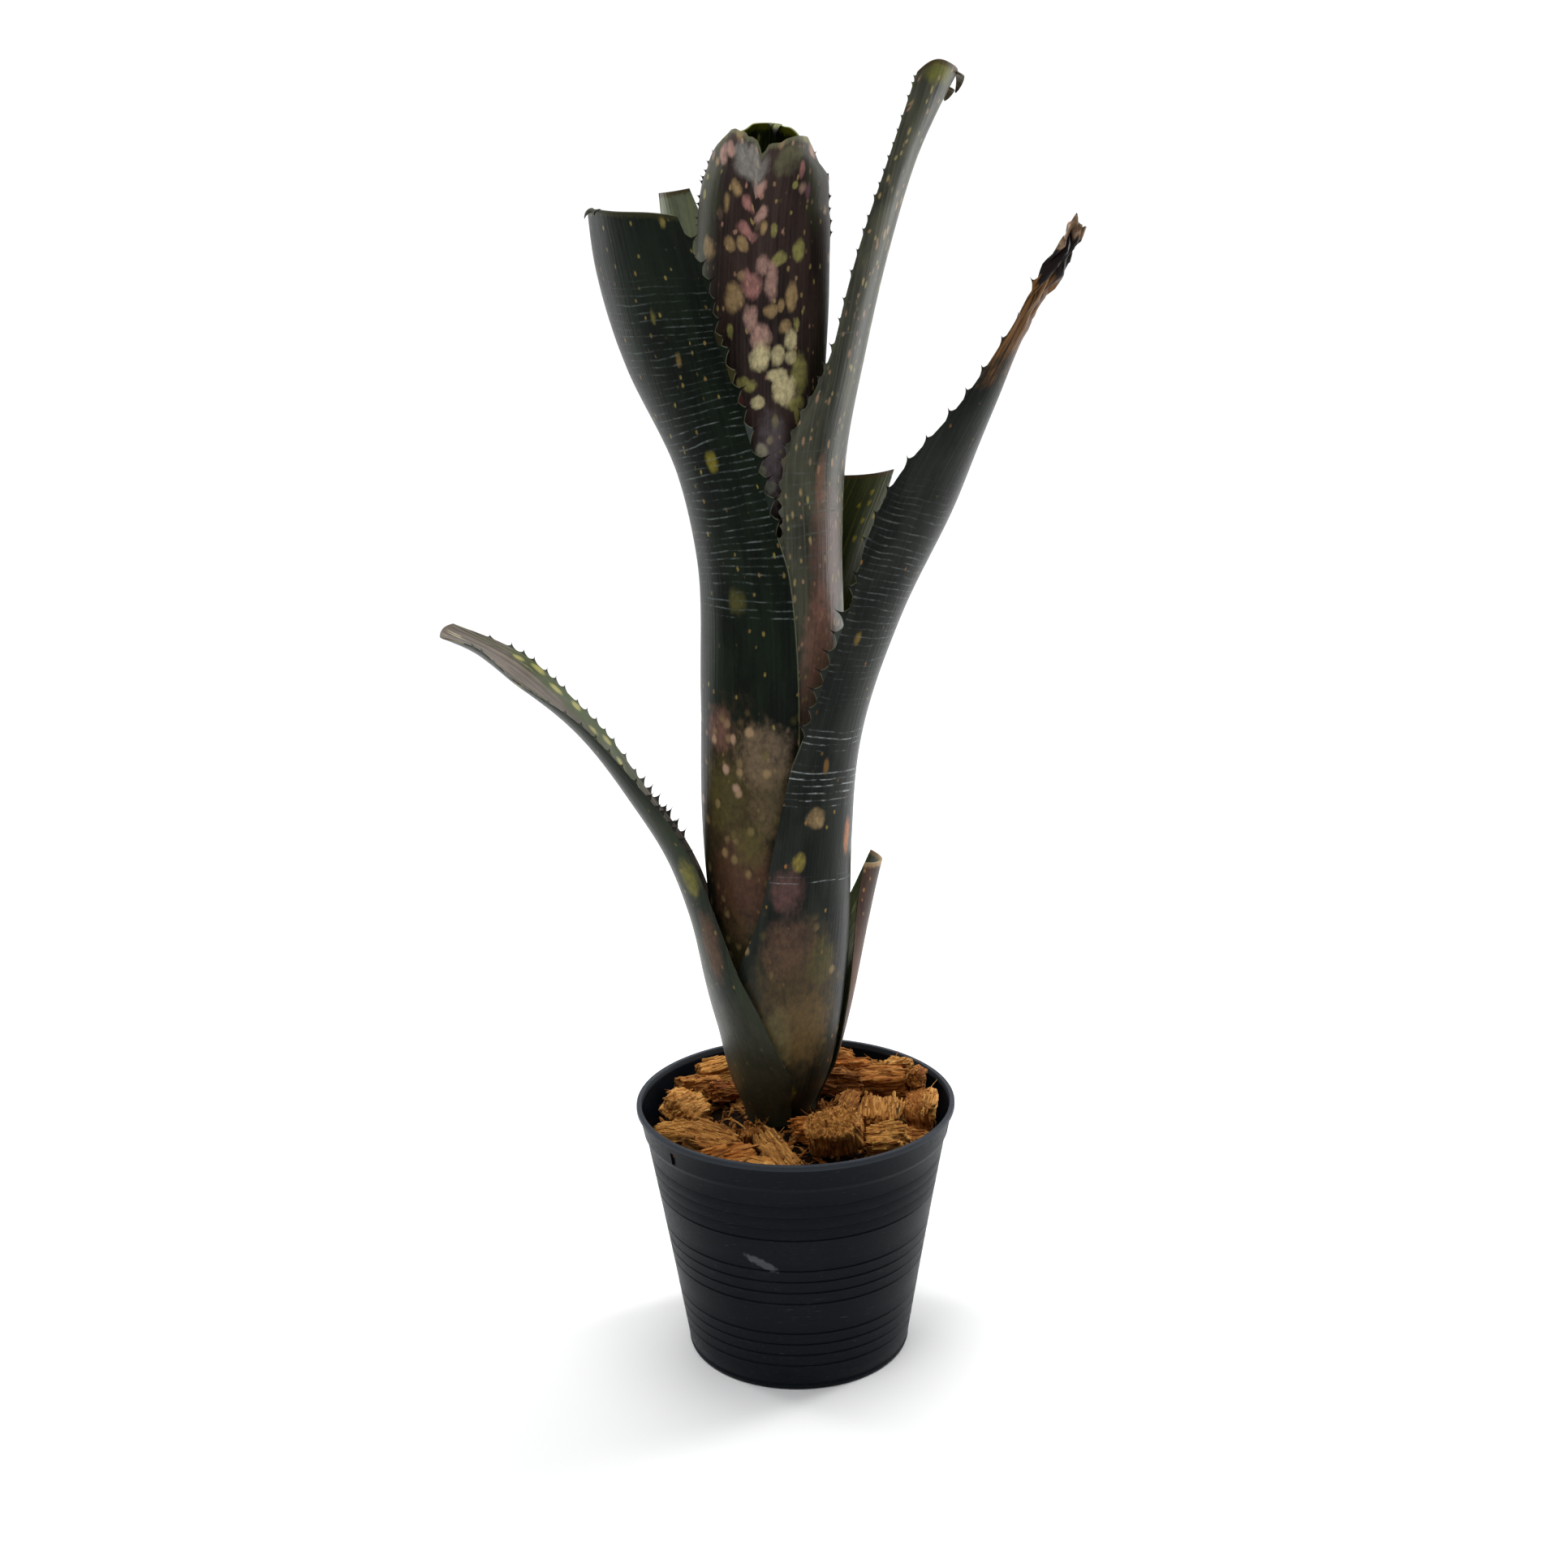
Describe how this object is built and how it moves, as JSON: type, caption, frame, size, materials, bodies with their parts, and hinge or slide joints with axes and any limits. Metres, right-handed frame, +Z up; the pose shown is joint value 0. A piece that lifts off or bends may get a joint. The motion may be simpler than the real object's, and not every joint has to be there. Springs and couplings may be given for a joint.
{
  "type": "potted bromeliad plant",
  "caption": "Tubular bromeliad with nested sheaths and arching spine-edged leaves, growing in husk chips in a tapered round nursery pot.",
  "frame": {"origin": "middle of the pot's underside, on the surface it stands on", "axes": "+Z up along the pot's axis, -Y towards the front of the plant, +X to the viewer's right"},
  "size_m": [0.1922, 0.105, 0.4081],
  "materials": {
    "pot": "thin moulded plastic, satin, scuffed",
    "growing_medium": "coarse damp coir",
    "stem": "fibrous, dull",
    "leaf_centre_back": "waxy living leaf, satin",
    "leaf_centre_front": "waxy living leaf, satin",
    "leaf_back_left": "waxy living leaf, satin",
    "leaf_right_tall": "waxy living leaf, satin",
    "leaf_back_right": "waxy living leaf, satin",
    "leaf_left_broad": "waxy living leaf, satin",
    "leaf_front_right": "waxy living leaf, satin",
    "leaf_stub_right": "waxy living leaf, satin",
    "leaf_outer_left": "waxy living leaf, satin",
    "chip_dark_splinter": "fibrous husk, dull",
    "chip_left_flat": "fibrous husk, dull",
    "chip_left_round": "fibrous husk, dull",
    "chip_back_left_pale": "fibrous husk, dull",
    "chip_far_left": "fibrous husk, dull",
    "chip_fluffy": "fibrous husk, dull",
    "chip_reddish": "fibrous husk, dull",
    "chip_light_front": "fibrous husk, dull",
    "chip_low_orange": "fibrous husk, dull",
    "chip_big_block": "fibrous husk, dull",
    "chip_grey_plank": "fibrous husk, dull",
    "chip_small_curl": "fibrous husk, dull",
    "chip_orange_flank": "fibrous husk, dull",
    "chip_bright_ridged": "fibrous husk, dull",
    "chip_small_right": "fibrous husk, dull",
    "chip_tangled": "fibrous husk, dull",
    "chip_cross_grain": "fibrous husk, dull",
    "chip_dark_plank": "fibrous husk, dull",
    "chip_big_fibrous": "fibrous husk, dull",
    "chip_tall_right": "fibrous husk, dull",
    "chip_right_edge": "fibrous husk, dull",
    "chip_right_crumb": "fibrous husk, dull",
    "chip_orange_back": "fibrous husk, dull",
    "chip_back_right": "fibrous husk, dull",
    "chip_far_back": "fibrous husk, dull",
    "chip_back_pale": "fibrous husk, dull",
    "chip_inner_right": "fibrous husk, dull",
    "chip_behind_plant": "fibrous husk, dull",
    "chip_behind_left": "fibrous husk, dull"
  },
  "bodies": {
    "root": {"pot": "pot", "growing_medium": "growing_medium", "stem": "stem", "leaf_centre_back": "leaf_centre_back", "leaf_centre_front": "leaf_centre_front", "leaf_back_left": "leaf_back_left", "leaf_right_tall": "leaf_right_tall", "leaf_back_right": "leaf_back_right", "leaf_left_broad": "leaf_left_broad", "leaf_front_right": "leaf_front_right", "leaf_stub_right": "leaf_stub_right", "leaf_outer_left": "leaf_outer_left", "chip_dark_splinter": "chip_dark_splinter", "chip_left_flat": "chip_left_flat", "chip_left_round": "chip_left_round", "chip_back_left_pale": "chip_back_left_pale", "chip_far_left": "chip_far_left", "chip_fluffy": "chip_fluffy", "chip_reddish": "chip_reddish", "chip_light_front": "chip_light_front", "chip_low_orange": "chip_low_orange", "chip_big_block": "chip_big_block", "chip_grey_plank": "chip_grey_plank", "chip_small_curl": "chip_small_curl", "chip_orange_flank": "chip_orange_flank", "chip_bright_ridged": "chip_bright_ridged", "chip_small_right": "chip_small_right", "chip_tangled": "chip_tangled", "chip_cross_grain": "chip_cross_grain", "chip_dark_plank": "chip_dark_plank", "chip_big_fibrous": "chip_big_fibrous", "chip_tall_right": "chip_tall_right", "chip_right_edge": "chip_right_edge", "chip_right_crumb": "chip_right_crumb", "chip_orange_back": "chip_orange_back", "chip_back_right": "chip_back_right", "chip_far_back": "chip_far_back", "chip_back_pale": "chip_back_pale", "chip_inner_right": "chip_inner_right", "chip_behind_plant": "chip_behind_plant", "chip_behind_left": "chip_behind_left"}
  },
  "joints": []
}
